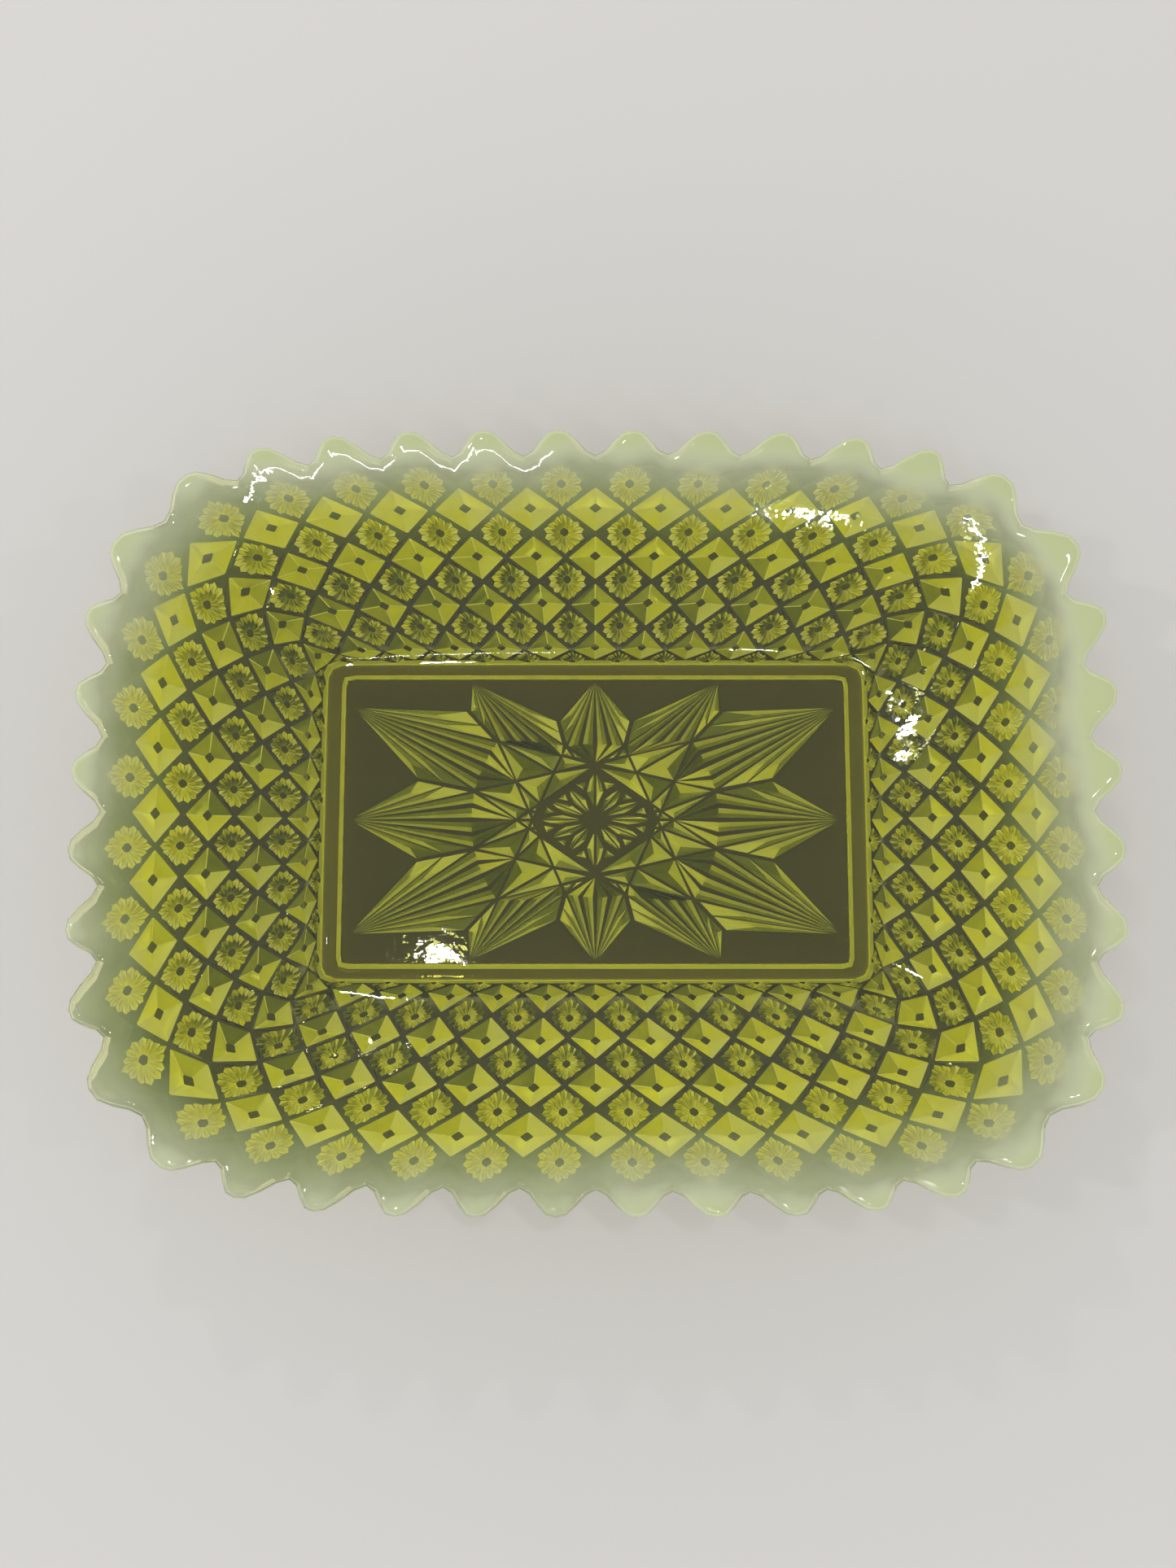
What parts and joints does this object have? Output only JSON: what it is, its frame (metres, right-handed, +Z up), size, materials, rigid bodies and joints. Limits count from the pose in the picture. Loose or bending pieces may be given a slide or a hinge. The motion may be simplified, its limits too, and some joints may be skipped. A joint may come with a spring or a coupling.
{
  "type": "rectangular serving dish",
  "caption": "Shallow rectangular pressed glass dish with flared, patterned walls, a scalloped milky rim, a standing foot band and a star under the floor.",
  "frame": {"origin": "centre of the foot's underside", "axes": "+X along the long side, +Y towards the back, +Z up out of the dish"},
  "size_m": [0.2808, 0.2106, 0.0399],
  "materials": {
    "clear_glass": "clear yellow-green uranium glass, polished",
    "milky_glass": "milky, heat-struck opalescent cream-green glass, polished"
  },
  "bodies": {
    "root": {"well_floor": "clear_glass", "base_star": "clear_glass", "foot_front": "clear_glass", "foot_back": "clear_glass", "foot_left": "clear_glass", "foot_right": "clear_glass", "foot_corner_back_right": "clear_glass", "foot_corner_back_left": "clear_glass", "foot_corner_front_left": "clear_glass", "foot_corner_front_right": "clear_glass", "wall_back": "clear_glass", "wall_corner_back_right": "clear_glass", "wall_right": "clear_glass", "wall_corner_front_right": "clear_glass", "wall_front": "clear_glass", "wall_corner_front_left": "clear_glass", "wall_left": "clear_glass", "wall_corner_back_left": "clear_glass", "rim_back": "milky_glass", "rim_corner_back_right": "milky_glass", "rim_right": "milky_glass", "rim_corner_front_right": "milky_glass", "rim_front": "milky_glass", "rim_corner_front_left": "milky_glass", "rim_left": "milky_glass", "rim_corner_back_left": "milky_glass"}
  },
  "joints": []
}
